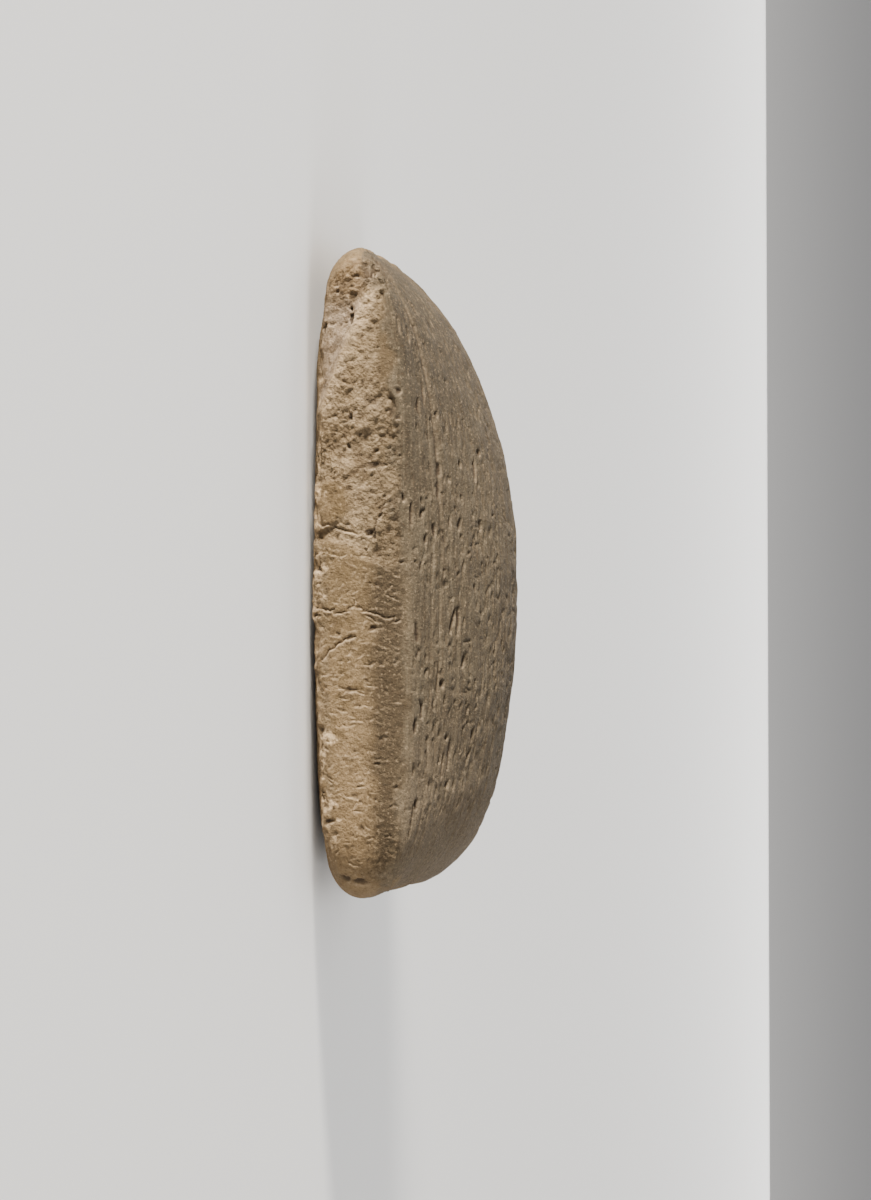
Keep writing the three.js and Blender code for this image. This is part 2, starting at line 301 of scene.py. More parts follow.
def base_mesh():
    """Vertices and quads of the unworn tablet: two grids, and rings that join their edges."""
    us, vs, spacing = grid_lines()
    u, v = np.meshgrid(us, vs, indexing="ij")
    reach_share = np.maximum(np.abs(u), np.abs(v))
    span = np.maximum(rounded_span(u, v), 1e-9)
    px = u * HALF_WIDTH / span
    py = v * HALF_LENGTH / span
    reach = np.maximum(np.hypot(px, py), 1e-9)
    nu, nv = u.shape
    roll = mix(ROLL_SIDE, ROLL_END, end_share(py))

    def sheet(inset, height):
        scale = reach_share * (1 - inset / reach)
        return np.stack([px * scale, py * scale, height(px * scale, py * scale)], axis=-1)

    top = sheet(BAND_LEAN, reverse_height)
    # The roll's width only matters at the rim, and the middle of the grid keeps to straight rows.
    bottom = sheet(roll * reach_share**3, obverse_height)
    loop = [(i, 0) for i in range(nu - 1)]
    loop += [(nu - 1, j) for j in range(nv - 1)]
    loop += [(i, nv - 1) for i in range(nu - 1, 0, -1)]
    loop += [(0, j) for j in range(nv - 1, 0, -1)]
    li, lj = np.array(loop).T
    qx, qy, qr = px[li, lj], py[li, lj], reach[li, lj]
    equator = mix(EQUATOR_SIDE, EQUATOR_END, end_share(qy))
    low = bottom[li, lj, 2]
    crease = top[li, lj, 2]
    roll_rings = int(ROLL_RINGS / spacing)
    band_rings = int(BAND_RINGS / spacing)
    rings = []
    for k in range(1, roll_rings):
        turn = k / roll_rings * np.pi / 2
        inset = roll[li, lj] * (1 - np.sin(turn))
        z = mix(low, equator, 1 - np.cos(turn))
        rings.append(np.stack([qx * (1 - inset / qr), qy * (1 - inset / qr), z], axis=-1))
    for k in range(band_rings):
        rise = k / band_rings
        inset = BAND_LEAN * rise**BAND_BOW
        z = mix(equator, crease, rise)
        rings.append(np.stack([qx * (1 - inset / qr), qy * (1 - inset / qr), z], axis=-1))
    points = np.concatenate([bottom.reshape(-1, 3), top.reshape(-1, 3), *rings])
    number = np.arange(nu * nv).reshape(nu, nv)
    upper = number + nu * nv
    a, b, c, d = number[:-1, :-1], number[1:, :-1], number[1:, 1:], number[:-1, 1:]
    under = np.stack([a, d, c, b], axis=-1).reshape(-1, 4)
    over = (np.stack([a, b, c, d], axis=-1) + nu * nv).reshape(-1, 4)
    count = len(loop)
    first = 2 * nu * nv
    ladders = [number[li, lj]]
    ladders += [first + k * count + np.arange(count) for k in range(len(rings))]
    ladders += [upper[li, lj]]
    sides = []
    for lower, higher in zip(ladders, ladders[1:]):
        sides.append(np.stack([lower, np.roll(lower, -1), np.roll(higher, -1), higher], axis=-1))
    return points, np.concatenate([under, over, *sides])


def vertex_normals(points, quads):
    diagonal_a = points[quads[:, 2]] - points[quads[:, 0]]
    diagonal_b = points[quads[:, 3]] - points[quads[:, 1]]
    face = np.cross(diagonal_a, diagonal_b)
    total = np.zeros_like(points)
    for corner in range(4):
        for axis in range(3):
            total[:, axis] += np.bincount(quads[:, corner], face[:, axis], len(points))
    return total / np.maximum(np.linalg.norm(total, axis=1, keepdims=True), 1e-12)


# Relief


class Relief:
    """How far a face is cut and raised, in millimetres, on a fine grid of places."""

    def __init__(self, low, high):
        self.low = np.array(low, float)
        size = np.ceil((np.array(high) - self.low) / MAP_STEP).astype(int) + 1
        self.depth = np.zeros(size)
        self.rise = np.zeros(size)

    def carve(self, low, high, shape, layer=None):
        """Cuts `shape(a, b)` between two corners, or raises it in the layer of the rise.

        It only counts where it is more than what is there.
        """
        layer = self.depth if layer is None else layer
        first = np.maximum(np.floor((np.array(low) - self.low) / MAP_STEP).astype(int), 0)
        last = np.minimum(np.ceil((np.array(high) - self.low) / MAP_STEP).astype(int), layer.shape)
        if np.any(last <= first):
            return
        lines = [self.low[n] + MAP_STEP * np.arange(first[n], last[n]) for n in (0, 1)]
        a, b = np.meshgrid(*lines, indexing="ij")
        part = layer[first[0] : last[0], first[1] : last[1]]
        np.maximum(part, shape(a, b), out=part)

    def groove(self, line, width, depth, wander, lip=0.0):
        """A crack or drawn line along `line`, which may have a raised edge on its lower side."""
        line = np.array(line, float)
        steps = np.linalg.norm(np.diff(line, axis=0), axis=1)
        travel = np.concatenate([[0], np.cumsum(steps)])
        wanted = np.linspace(0, travel[-1], max(2, int(travel[-1] / GROOVE_STEP)))
        path = np.stack([np.interp(wanted, travel, line[:, n]) for n in (0, 1)], axis=-1)
        path[1:-1] += rng.normal(0, wander * 0.5, path[1:-1].shape)
        sizes = width * rng.uniform(0.55, 1.3, len(path))
        for (p, q), size in zip(zip(path, path[1:]), sizes):

            def away(a, b, p=p, q=q):
                run = q - p
                t = np.clip(((a - p[0]) * run[0] + (b - p[1]) * run[1]) / max(run @ run, 1e-9), 0, 1)
                return np.hypot(a - p[0] - t * run[0], b - p[1] - t * run[1])

            def cut(a, b, away=away, size=size):
                return depth * np.clip(1 - away(a, b) / (size / 2), 0, 1) ** 0.8

            def edge(a, b, away=away, size=size):
                return lip * np.exp(-((away(a + size / 2 + 0.15, b) / 0.24) ** 2))

            low = np.minimum(p, q) - size
            high = np.maximum(p, q) + size
            self.carve(low, high, cut)
            if lip:
                self.carve(low - LIP_REACH, high + LIP_REACH, edge, self.rise)

    def pit(self, place, size, depth, rough=0.3):
        """A chipped hollow with an uneven rim; `size` is its half size both ways."""
        place = np.array(place, float)
        size = np.array(size, float)
        phase = rng.uniform(0, 6.28, 3)

        def shape(a, b):
            da, db = (a - place[0]) / size[0], (b - place[1]) / size[1]
            turn = np.arctan2(db, da)
            wave = np.sin(2 * turn + phase[0]) + np.sin(3 * turn + phase[1])
            wave += 0.6 * np.sin(7 * turn + phase[2])
            edge = 1 + rough * wave / 2.6
            return depth * np.clip((1 - np.hypot(da, db) / edge) * 2.2, 0, 1)

        self.carve(place - size * 1.5, place + size * 1.5, shape)

    def stroke(self, place, heading, length, width, depth):
        """A wedge that is broad and deep at `place` and runs out to a point."""
        c, s = np.cos(heading), np.sin(heading)
        reach = length + width

        def shape(a, b):
            ahead = (a - place[0]) * c + (b - place[1]) * s
            aside = np.abs((b - place[1]) * c - (a - place[0]) * s)
            left = 1 - np.clip(ahead / length, 0, 1)
            half = width / 2 * left**STROKE_TAPER + 0.04
            wall = np.clip(1 + ahead / (0.12 * width), 0, 1) * (ahead < length)
            return depth * left ** (STROKE_TAPER / 2) * np.clip(1 - aside / half, 0, 1) ** 0.8 * wall

        self.carve(np.array(place) - reach, np.array(place) + reach, shape)

    def slot(self, place, heading, length, width, depth):
        """A narrow cut that is pointed at both ends, about its middle."""
        c, s = np.cos(heading), np.sin(heading)

        def shape(a, b):
            ahead = (a - place[0]) * c + (b - place[1]) * s
            aside = np.abs((b - place[1]) * c - (a - place[0]) * s)
            lens = np.clip(1 - (2 * ahead / length) ** 2, 0, 1) ** 0.5
            return depth * lens**0.5 * np.clip(1.5 * (1 - aside / (width / 2 * lens + 0.03)), 0, 1)

        reach = (length + width) / 2
        self.carve(np.array(place) - reach, np.array(place) + reach, shape)

    def at(self, a, b, layer=None):
        """The depth at places anywhere on the face, less the rise, or one layer alone."""
        d = self.depth - self.rise if layer is None else layer
        p = (np.stack([a, b]).reshape(2, -1).T - self.low) / MAP_STEP
        p = np.clip(p, 0, np.array(d.shape) - 1.001)
        i, j = np.floor(p).astype(int).T
        s, t = (p - np.floor(p)).T
        near = d[i, j] * (1 - s) + d[i + 1, j] * s
        far = d[i, j + 1] * (1 - s) + d[i + 1, j + 1] * s
        return (near * (1 - t) + far * t).reshape(np.shape(a))


# Writing on the two broad faces


def write_rows(relief, pitch, top, bottom, outward, wear):
    """Rows of strokes, with their broad ends towards `outward` less, and shallower with wear."""
    upright = outward * np.pi / 2
    rows = int((top - bottom) / pitch)
    reach = HALF_WIDTH - ROW_MARGIN_SIDE
    for row in range(rows):
        line = top - (row + 0.5) * (top - bottom) / rows
        x = -reach + rng.uniform(0, 1.5)
        while x < reach:
            kind = rng.random()
            if kind < GAP_CHANCE:
                x += rng.uniform(1.2, 3)
                continue
            size = rng.uniform(*STROKE_SIZE)
            strokes = 1 if kind < LONE_CHANCE else int(rng.integers(2, 5))
            for n in range(strokes):
                lying = rng.random() < LYING_CHANCE
                heading = (np.pi if lying else upright) + rng.normal(0, HEADING_SPREAD)
                length = size * rng.uniform(*(LYING_LENGTH if lying else UPRIGHT_LENGTH))
                px = x + n * rng.uniform(*STROKE_PITCH) * size
                py = line + (rng.uniform(-1.2, 1.2) if lying else -outward * rng.uniform(0.2, 2.0) * size)
                left = 1 - wear(px, py) * rng.uniform(0.75, 1.1)
                if left > FAINTEST_STROKE:
                    width = rng.uniform(*STROKE_WIDTH) * size
                    relief.stroke((px, py), heading, length, width, rng.uniform(*STROKE_DEPTH) * left)
            x += strokes * 0.95 * size + rng.uniform(0.7, 1.9)


def draw_rulings(relief):
    """Two worn lines along the right-hand edge, with stretches of them gone."""
    for n in range(2):
        x = -HALF_WIDTH + RULING_INSET + n * RULING_SPACING
        ys = np.linspace(-RULING_REACH, RULING_REACH, RULING_STEPS)
        xs = x + 0.18 * np.sin(ys / 9 + n) + rng.normal(0, 0.03, len(ys))
        for k in range(len(ys) - 1):
            if rng.random() < RULING_KEPT:
                step = [(xs[k], ys[k]), (xs[k + 1], ys[k + 1])]
                relief.groove(step, RULING_WIDTH, rng.uniform(*RULING_DEPTH), wander=0.05)


def written(pitch, top, bottom, outward, wear):
    """One broad face with its rows and rulings; the rows are shallower where wear(x, y) is high."""
    relief = Relief((-HALF_WIDTH, -HALF_LENGTH), (HALF_WIDTH, HALF_LENGTH))
    write_rows(relief, pitch, top, bottom, outward, wear)
    draw_rulings(relief)
    return relief


def written_obverse():
    margin = HALF_LENGTH - OBVERSE_MARGIN_END
    return written(ROW_PITCH_OBVERSE, margin, -margin, -1, lambda x, y: OBVERSE_WEAR)


# Deeper strokes by the near side of the reverse: y, height seen from the camera, length, width
SLOTS = [
    (41.0, 19.6, 1.5, 0.7),
    (39.5, 15.2, 2.2, 0.5),
    (38.1, 16.5, 2.1, 0.9),
    (36.8, 19.0, 2.1, 0.6),
    (28.5, 18.9, 2.7, 0.9),
    (26.8, 18.0, 2.0, 1.4),
    (19.6, 27.3, 1.0, 1.8),
    (17.6, 24.5, 1.0, 1.3),
    (16.7, 21.4, 1.6, 1.0),
    (16.6, 26.8, 2.9, 2.2),
    (13.3, 21.3, 2.4, 1.4),
    (9.4, 18.7, 1.2, 0.8),
    (9.3, 17.2, 3.0, 0.9),
    (7.8, 24.5, 1.7, 1.6),
    (7.7, 27.8, 1.5, 2.0),
    (6.8, 20.6, 1.8, 1.1),
    (5.4, 19.3, 1.2, 0.9),
    (-7.4, 24.4, 3.0, 1.1),
    (-7.8, 23.6, 3.4, 1.1),
    (-9.9, 18.0, 2.0, 1.3),
    (-14.3, 25.3, 2.0, 1.7),
    (-16.9, 21.3, 4.0, 0.8),
    (-17.9, 21.9, 1.1, 1.3),
    (-22.2, 18.8, 2.2, 1.0),
    (-24.6, 17.7, 2.0, 1.5),
    (-26.3, 26.6, 1.7, 1.9),
    (-26.6, 22.6, 0.8, 1.1),
    (-29.4, 23.0, 3.8, 0.9),
    (-31.2, 21.9, 3.2, 0.8),
    (-31.9, 17.4, 1.2, 0.8),
    (-34.3, 22.6, 0.9, 1.1),
    (-34.4, 23.5, 1.2, 1.2),
    (-36.9, 15.6, 1.1, 1.1),
    (-37.2, 17.8, 1.5, 1.1),
    (-39.9, 16.9, 4.5, 0.7),
]


def across_at(y, seen):
    """Place across the near half of the reverse that is seen `seen` up the picture from the floor."""
    xs = np.linspace(-HALF_WIDTH + BAND_LEAN, -4, 400)
    behind = xs + HALF_WIDTH
    height = reverse_height(xs, y) + behind * np.tan(TILT)
    return float(np.interp(seen, height * DISTANCE / (DISTANCE + behind), xs))


def reverse_wear(x, y):
    """The writing is worn along the near side and towards the bottom end there."""
    near = smooth((4 - x) / 12)
    low = smooth((-37 - y) / 8) * smooth((12 - x) / 20)
    return np.clip(0.2 + 0.52 * near + 0.5 * low, 0, 1)


def written_reverse():
    """The reverse's rows, the deep and small cuts of its near half, and a deeper upper ruling."""
    top = HALF_LENGTH - REVERSE_MARGIN_TOP
    bottom = -HALF_LENGTH + REVERSE_MARGIN_BOTTOM
    relief = written(ROW_PITCH_REVERSE, top, bottom, 1, reverse_wear)
    for y, seen, length, width in SLOTS:
        heading = np.pi / 2 + rng.normal(-0.06, 0.1)
        widest = min(0.85 * width, SLOT_WIDEST)
        relief.slot((across_at(y, seen), y), heading, 1.35 * length, widest, SLOT_DEPTH)
    for _ in range(SMALL_SLOTS):
        x = -HALF_WIDTH + 2.4 + 40 * rng.random()
        row = rng.integers(-10, 11) * ROW_PITCH_REVERSE + 1.5
        y = row + rng.normal(0, 1.0) if rng.random() < 0.6 else rng.uniform(-45, 47)
        length = rng.uniform(0.6, 2.3)
        width = rng.uniform(0.3, 0.75)
        depth = rng.uniform(0.08, 0.42) * smooth((47 + y) / 12)
        relief.slot((x, y), np.pi / 2 + rng.normal(0, 0.2), length, width, depth)
    ruled = -HALF_WIDTH + RULING_INSET + RULING_SPACING
    relief.groove([(ruled, 12.5), (ruled - 0.1, 30), (ruled + 0.1, 47)], 0.8, 0.42, wander=0.06)

    def raised_band(x, y):
        return 0.28 * np.exp(-(((x - ruled - 1.5) / 0.9) ** 2)) * smooth((y - 12) / 8)

    relief.carve((ruled - 2, 12), (ruled + 5, 48), raised_band, relief.rise)
    return relief


# Cracks on the near edge, as (y, z), each with its width and depth
CRACKS = [
    ([(-5.7, 1.4), (-6.3, 4.2), (-6.2, 6.6), (-4.4, 8.0)], 0.5, 0.34),
    ([(-5.5, 8.6), (-6.3, 10.4), (-7.2, 12.3), (-7.6, 15.3)], 0.55, 0.36),
    ([(-6.9, 10.0), (-8.0, 11.6)], 0.5, 0.3),
    ([(-14.3, 2.4), (-12.5, 3.7), (-10.9, 5.8), (-10.2, 8.3)], 0.55, 0.38),
    ([(-11.4, 10.7), (-12.7, 15.1)], 0.3, 0.2),
    ([(-16.4, 2.6), (-16.2, 5.0)], 0.3, 0.2),
    ([(-18.3, 5.4), (-18.6, 7.4), (-19.4, 9.4)], 0.5, 0.3),
    ([(-18.0, 9.9), (-18.2, 11.4)], 0.4, 0.26),
    ([(-23.6, 7.5), (-23.8, 9.2)], 0.35, 0.22),
    ([(-1.9, 11.8), (-3.2, 12.7), (-4.4, 14.8)], 0.5, 0.32),
    ([(-3.2, 12.7), (-2.0, 13.8)], 0.4, 0.26),
    ([(7.9, 1.0), (7.3, 4.2), (6.5, 7.4)], 0.5, 0.32),
    ([(6.5, 7.4), (5.2, 9.5), (1.5, 11.6), (-0.6, 14.9)], 0.35, 0.24),
    ([(11.1, 12.8), (8.6, 11.5), (5.4, 11.2)], 0.7, 0.36),
    ([(3.4, 3.0), (2.6, 5.2), (3.0, 6.6)], 0.35, 0.24),
    ([(-35.4, 6.2), (-36.3, 8.6)], 0.4, 0.26),
    ([(-40.4, 8.2), (-42.0, 9.6)], 0.4, 0.24),
    ([(-29.0, 5.0), (-29.6, 9.0)], 0.25, 0.16),
    ([(-26.4, 2.0), (-25.8, 4.0)], 0.25, 0.16),
]
# Hollows on the near edge: (y, z), half size, depth
PITS = [
    ((51.5, 9.2), (0.45, 0.8), 0.35),
    ((50.8, 7.0), (0.4, 0.8), 0.3),
    ((48.5, 10.3), (0.95, 0.3), 0.4),
    ((48.3, 11.0), (0.7, 0.25), 0.35),
    ((48.4, 7.9), (0.35, 0.7), 0.3),
    ((46.8, 4.3), (0.6, 0.5), 0.35),
    ((45.6, 4.6), (0.4, 0.6), 0.35),
    ((40.2, 3.8), (0.45, 0.6), 0.35),
    ((39.7, 2.6), (0.4, 0.4), 0.3),
    ((42.7, 7.2), (0.5, 0.3), 0.5),
    ((41.0, 7.3), (1.3, 0.45), 0.75),
    ((27.6, 10.6), (1.2, 1.9), 0.26),
    ((25.0, 7.2), (0.8, 0.7), 0.3),
    ((17.2, 11.3), (0.7, 2.4), 0.3),
    ((14.5, 9.0), (0.8, 1.2), 0.2),
    ((29.0, 15.0), (0.6, 0.8), 0.3),
    ((24.9, 15.0), (0.6, 0.8), 0.3),
    ((11.9, 16.0), (0.7, 0.5), 0.5),
    ((20.3, 6.9), (0.6, 0.5), 0.35),
    ((6.4, 10.3), (0.7, 1.2), 0.35),
    ((-18.8, 7.2), (0.55, 1.5), 0.28),
    ((-8.9, 10.9), (0.6, 0.7), 0.32),
    ((-22.0, 11.4), (0.4, 0.5), 0.2),
    ((-35.8, 8.0), (0.7, 0.9), 0.24),
    ((-41.0, 9.0), (0.7, 0.8), 0.26),
    ((-46.4, 13.0), (0.45, 0.5), 0.2),
    ((-48.6, 3.4), (1.0, 1.3), 0.32),
    ((-49.4, 5.6), (1.0, 1.6), 0.36),
    ((-49.8, 8.4), (0.8, 1.7), 0.36),
]
# Bright chips on the near arris of the obverse: y, half length, height
CHIPS = [
    (-26.4, 1.7, 3.2),
    (-28.6, 0.8, 2.6),
    (-30.5, 0.8, 2.0),
    (-33.4, 0.6, 1.8),
    (-36.8, 1.6, 3.4),
    (-39.9, 1.0, 3.6),
    (-43.7, 1.6, 3.4),
    (-46.4, 0.8, 2.8),
    (-17.8, 1.0, 1.9),
    (-14.6, 0.6, 1.8),
    (-9.8, 0.5, 1.7),
    (-5.6, 0.6, 1.8),
    (-4.0, 0.4, 1.8),
    (0.6, 0.9, 2.3),
    (3.0, 0.7, 1.8),
    (8.9, 0.5, 1.6),
    (12.8, 0.8, 1.8),
    (22.7, 0.7, 1.8),
    (27.4, 0.5, 1.8),
    (30.9, 0.5, 1.8),
    (38.2, 0.7, 1.6),
]


# Outlines on the near edge, as (y, z): the ridge, and the scar above it and spall below it
RIDGE = [
    (49.3, 12.3),
    (44.4, 9.6),
    (40.3, 7.8),
    (36.6, 6.6),
    (33.0, 5.2),
    (29.8, 3.7),
    (26.2, 2.1),
    (23.6, 0.8),
]
SCAR = RIDGE + [
    (23.5, -1.6),
    (46.0, -1.5),
    (46.2, 2.2),
    (47.4, 3.6),
    (48.9, 4.9),
    (50.0, 6.0),
    (51.3, 9.0),
    (50.2, 11.8),
]
SPALL = RIDGE + [
    (23.6, -1.6),
    (14.3, -1.5),
    (14.0, 2.1),
    (14.1, 4.4),
    (13.5, 6.3),
    (11.4, 7.0),
    (9.4, 6.5),
    (8.0, 4.7),
    (6.8, 2.7),
    (6.0, -1.6),
    (4.5, -1.5),
    (5.0, 3.4),
    (4.6, 6.6),
    (3.4, 8.6),
    (1.8, 10.2),
    (0.7, 12.8),
    (1.5, 14.9),
    (5.4, 15.4),
    (11.1, 15.1),
    (16.7, 15.2),
    (23.3, 15.1),
    (27.8, 14.1),
    (31.1, 12.6),
    (37.1, 12.0),
    (42.8, 12.5),
    (46.8, 13.3),
]


def near_edge():
    """The near edge's cracks, pits and chips, large ones in their places and small ones scattered."""
    relief = Relief(EDGE_LOW, EDGE_HIGH)
    for line, width, depth in CRACKS:
        relief.groove(line, 0.8 * width, depth, wander=0.45, lip=CRACK_LIP)
    for place, size, depth in PITS:
        relief.pit(place, size, depth)
    for y, half, z in CHIPS:
        relief.pit((y, 0.4 * z), (half, 0.62 * z), CHIP_DEPTH, rough=0.7)
    for _ in range(SMALL_PITS):
        place = (rng.uniform(-51, 51), rng.uniform(1, 16))
        size = rng.uniform(0.12, 0.36)
        relief.pit(place, (size, size * rng.uniform(0.6, 1.8)), rng.uniform(0.1, 0.26), rough=0.5)
    for _ in range(SMALL_CRACKS):
        y, z = rng.uniform(-51, 5), 1.2 + 13.5 * rng.random() ** 1.4
        turn = rng.normal(0, 0.7)
        bend = rng.normal(0, 0.7)
        run = rng.uniform(0.2, 0.75)
        line = [(y, z)]
        for _ in range(2):
            y, z = y - run * np.sin(turn), z + run * np.cos(turn)
            line.append((y, z))
            turn += bend
        depth = rng.uniform(0.1, 0.26)
        relief.groove(line, SMALL_CRACK_WIDTH, depth, wander=0.3, lip=rng.uniform(0.04, 0.1))
    return relief


def inside(outline):
    """Distance inside an outline on the near edge, in millimetres, and below 0 outside it."""
    region = Relief(EDGE_LOW, EDGE_HIGH)
    lines = [region.low[n] + MAP_STEP * np.arange(region.depth.shape[n]) for n in (0, 1)]
    a, b = np.meshgrid(*lines, indexing="ij")
    within = np.zeros(a.shape, bool)
    nearest = np.full(a.shape, np.inf)
    for (pa, pb), (qa, qb) in zip(outline, outline[1:] + outline[:1]):
        crosses = (pb > b) != (qb > b)
        within ^= crosses & (a < pa + (b - pb) * (qa - pa) / (qb - pb or 1))
        da, db = qa - pa, qb - pb
        t = np.clip(((a - pa) * da + (b - pb) * db) / (da * da + db * db), 0, 1)
        nearest = np.minimum(nearest, np.hypot(a - pa - t * da, b - pb - t * db))
    region.depth[:] = np.where(within, nearest, -nearest)
    return region


# Wear and breakage


def near_share(x):
    """1 on the edge that faces the camera, and 0 a little behind it."""
    return smooth((-x - HALF_WIDTH + NEAR_REACH) / NEAR_FADE)


def part_shares(p, normals):
    """How much each place belongs to the obverse, the reverse and the edge, and its inset."""
    x, y, z = p.T
    span = np.maximum(outline_share(x, y), 1e-9)
    inset = np.hypot(x, y) * (1 / span - 1)
    down = smooth(-normals[:, 2] * 3 - 0.6)
    up = smooth((inset - BAND_LEAN - 0.05) / 0.8) * (z > EQUATOR_SIDE + 0.5)
    side = (1 - up) * smooth(1.6 + normals[:, 2] * 1.4)
    return down, up, side, inset


def broken(p, inset):
    """How deep the near edge is broken away at each place, and the marks for its colour, with painted
    shade in crevices and a painted highlight on the ridge's crest.
    """
    x, y, z = p.T
    near = smooth(1 - inset / BREAK_REACH) * smooth((-x - 19) / 8)
    near = near * np.where(z > EQUATOR_SIDE + 1, smooth(1.15 - inset / 7), 1)
    uneven = noise(p, 3.4, 41) + 0.6 * noise(p, 1.5, 42)
    scar_in = inside(SCAR).at(y, z) + 0.4 * uneven
    spall_in = inside(SPALL).at(y, z) + 0.5 * uneven
    scar = smooth(0.5 + scar_in / 1.1)
    spall = smooth(0.5 + spall_in)
    slanted = np.stack([0.8 * (y - z), 0.36 * (y + z), x], axis=-1)
    crumbs = 0.8 * fractal(slanted, 1.7, 3, 33, 0.85) + 0.7 * fractal(p, 0.8, 2, 43, 0.8)
    hackle = fractal(p, 2.2, 3, 37)
    lumps = noise(slanted, 5.0, 31) + 0.8 * noise(p, 2.3, 32)
    high = smooth((y - HIGH_START) / HIGH_FADE)
    scar_depth = scar * smooth(0.25 + scar_in / 2.4) * SCAR_DEPTH * mix(1, 0.4, high)
    spall_depth = spall * (SPALL_DEPTH * smooth(0.55 + spall_in / 3) + SPALL_LUMP * lumps)
    depth = np.maximum(scar_depth, spall_depth)
    crumbly = np.maximum(spall, scar * mix(0.42, 1, high))
    depth += crumbly * SPALL_CRUMB * (1 + 0.9 * high) * crumbs
    depth += scar * (1 - high) * SCAR_HACKLE * hackle
    # The ridge's crest is paler, partly worn clay and partly a painted highlight where its upper flank
    # would catch the light
    crest_highlight = smooth(1.3 - np.abs(scar_in + 0.3) / 1.3) * smooth(0.9 + spall_in / 2)
    crest_highlight = crest_highlight * smooth((47 - y) / 3) * smooth(0.75 + 0.6 * uneven)
    # Dirt and painted shade in the crevices of the crumbly broken clay
    crevice = crumbly * smooth(crumbs * 0.9 + 0.1 + 0.15 * high) * mix(0.75, 1, high)
    marks = {
        "scar": scar * near * (1 - 0.75 * high),
        "spall": np.maximum(spall, scar * high) * near,
        "crest_highlight": crest_highlight * near,
        "crevice": crevice * near,
        "high": near * high * scar,
    }
    return near * depth, marks


def wear_depth(p, shares, grain):
    """How deep wear cuts in at each place, and how far each place is in a notch of the arris."""
    _, on_reverse, side, inset = shares
    x, y, z = p.T
    near = near_share(x)
    along = np.stack([x, y / STREAK_STRETCH, 0 * z], axis=-1)
    streaks = noise(along, 0.5, 3) + 0.8 * noise(along, 1.1, 5) + 0.9 * noise(along, 2.6, 7)
    ripples = REVERSE_RIPPLES[0] * noise(p, 1.1, 9) + REVERSE_RIPPLES[1] * noise(p, 3, 54)
    cut = on_reverse * (STREAK_DEPTH * streaks + ripples)
    cut += SWELLS[0] * noise(p, 9, 1) + SWELLS[1] * noise(p, 4, 2)
    cut += (GRAIN_DEPTH + EDGE_GRAIN_DEPTH * side * near) * grain
    cut += side * (1 - near) * FAR_PIT_DEPTH * smooth(noise(p, 2.4, 21) * 2.2 - 0.9)
    low = smooth((ARRIS_TOP - z) / ARRIS_FADE)
    cut += side * low * (ARRIS_WAVE + ARRIS_WAVE_HIGH * near * smooth((y - 2) / 6)) * noise(p, 3.4, 51)
    crumb = ARRIS_CRUMB * near * fractal(p, 0.7, 2, 58, 0.8)
    cut += side * low * (ARRIS_CHIP * noise(p, 1.4, 52) + crumb)
    rim = smooth(1.2 - inset / 8) * smooth((-x - 24) / 6) * low
    notch = rim * smooth(1.8 * noise(p, 2.6, 53) - 0.2)
    cut += NOTCH_DEPTH * notch
    cut += rim * (RIM_WAVES[0] * noise(p, 1.6, 55) + RIM_WAVES[1] * noise(p, 0.8, 57))
    return cut, notch


def past_crease(p, inset):
    """Which places are on the dome, and how far each one is from the crease, past it or short."""
    on_dome = inset > BAND_LEAN + 0.01
    return on_dome, np.where(on_dome, 1.25 * (inset - BAND_LEAN), p[:, 2] - crease_height(p[:, 1]))


def crease_rounding(p, normals, inset, outward):
    """How near the crease each place is, and how far and which way it is rounded off there."""
    on_dome, past = past_crease(p, inset)
    reach = CREASE_REACH * (1 + 0.3 * noise(p, 6, 61))
    soft = np.clip(1 - np.abs(past) / reach, 0, 1) * smooth((p[:, 2] - 5) / 3)
    by_end = smooth((np.abs(p[:, 1]) - 34) / 12)
    rounding = CREASE_SOFT * (1 - 0.45 * by_end) * soft**2
    # The direction turns evenly from the band's own to the reverse's own
    halfway = 0.5 + 0.25 * by_end
    dome_tilt = np.arcsin(np.clip(normals[:, 2], 0, 1))
    tilt = np.where(on_dome, mix(dome_tilt, halfway, soft), halfway * soft)
    turned = outward * np.cos(tilt)[:, None]
    turned[:, 2] = np.sin(tilt)
    return soft, turned * rounding[:, None]


def level_outward(p):
    """The level direction straight out of the outline at each place."""
    x, y, z = p.T
    across = np.sign(x) * np.abs(x / HALF_WIDTH) ** (SQUARENESS - 1) / HALF_WIDTH
    ahead = np.sign(y) * np.abs(y / HALF_LENGTH) ** (SQUARENESS - 1) / HALF_LENGTH
    slope = np.maximum(np.hypot(across, ahead), 1e-9)
    return np.stack([across / slope, ahead / slope, 0 * z], axis=-1)


def fresh_chips_and_highlight(p, notch, grain):
    """How far each place shows paler clay that broke open lately, brightened further as a painted
    highlight where the facets would catch the light: chips, notches and crumbled arris.
    """
    x, y, z = p.T
    fresh_and_highlight = np.zeros(len(p))
    for spot_y, half, spot_z in CHIPS:
        spot = ((y - spot_y) / (half * 1.1)) ** 2 + ((z - spot_z * 0.5) / (spot_z * 1.1)) ** 2
        fresh_and_highlight = np.maximum(fresh_and_highlight, smooth(2.4 * (0.72 - spot + 1.1 * grain)))
    crumbled = smooth((3.2 - z) / 2) * smooth(noise(p, 2.2, 56) + 1.2 * grain)
    fresh_and_highlight = np.maximum(fresh_and_highlight, 0.75 * np.maximum(crumbled, notch * smooth(0.6 + grain)))
    return fresh_and_highlight * near_share(x)


